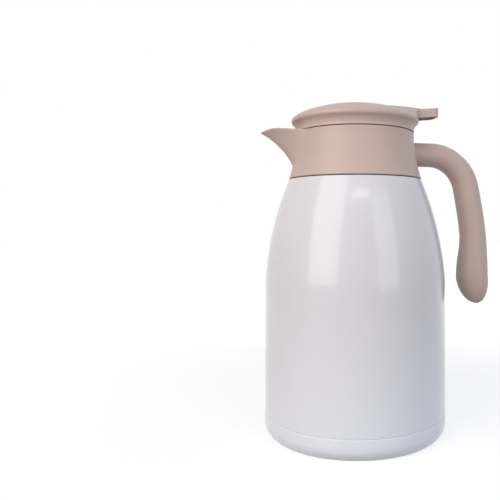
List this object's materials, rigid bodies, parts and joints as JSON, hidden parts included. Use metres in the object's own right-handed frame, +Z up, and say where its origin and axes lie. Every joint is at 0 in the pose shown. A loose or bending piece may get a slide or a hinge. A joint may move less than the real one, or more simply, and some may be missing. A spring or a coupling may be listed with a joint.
{
  "type": "vacuum jug",
  "caption": "Vacuum-insulated pouring jug with an open-ended handle, a V-shaped pouring lip and a domed screw-in lid whose thumb tab lifts a spring-closed valve.",
  "frame": {"origin": "on the flask's axis, in the plane of the foot ring that the jug stands on", "axes": "+Z up along the flask's axis, the pouring lip points along -X, the handle and the thumb tab along +X"},
  "size_m": [0.1781, 0.1334, 0.2408],
  "materials": {
    "white_paint": "gloss",
    "white_plastic": "gloss",
    "beige_plastic": "satin",
    "inner_plastic": "satin",
    "bare_steel": "satin",
    "bright_foil": "bright",
    "solder": "dull",
    "getter_grey": "dull",
    "silicone": "matte",
    "screw_steel": "satin",
    "spring_steel": "bright"
  },
  "bodies": {
    "jug": {"outer_shell": "white_paint", "inner_flask": "bare_steel", "closing_plate": "bare_steel", "seal_bead": "solder", "getter": "getter_grey", "radiation_foil": "bright_foil", "base_cup": "white_plastic", "collar": "beige_plastic", "neck_ring": "inner_plastic", "neck_gasket": "silicone", "handle": "beige_plastic", "handle_screws": "screw_steel"},
    "lid_carriage": {"stopper_seal": "silicone"},
    "lid": {"stopper": "inner_plastic", "lid_cover": "beige_plastic", "cover_screws": "screw_steel", "lever_pin": "screw_steel", "valve_guide": "inner_plastic"},
    "lever": {"thumb_lever": "beige_plastic"},
    "valve": {"valve_stem": "inner_plastic", "valve_seal": "silicone", "link_pin": "screw_steel", "valve_spring": "spring_steel"}
  },
  "joints": [
    {"name": "lid_rise", "type": "slide", "parent": "jug", "child": "lid_carriage", "axis": [0, 0, 1], "range_m": [0, 0.054]},
    {"name": "lid_turn", "type": "hinge", "parent": "lid_carriage", "child": "lid", "pos_m": [0, 0, 0.21], "axis": [0, 0, 1], "range_deg": [0, 1080]},
    {"name": "lever_press", "type": "hinge", "parent": "lid", "child": "lever", "pos_m": [0.0285, 0, 0.231], "axis": [0, 1, 0], "range_deg": [0, 10], "stiffness_Nm_per_rad": 0.2, "springref_deg": -8.59},
    {"name": "valve_lift", "type": "slide", "parent": "lid", "child": "valve", "axis": [0, 0, 1], "range_m": [0, 0.00497], "deforming": ["valve_spring"]}
  ],
  "couplings": [
    {"joint": "lid_turn", "follows": "lid_rise", "rad_per_m": 349.07},
    {"joint": "lever_press", "follows": "valve_lift", "rad_per_m": 35.088}
  ]
}
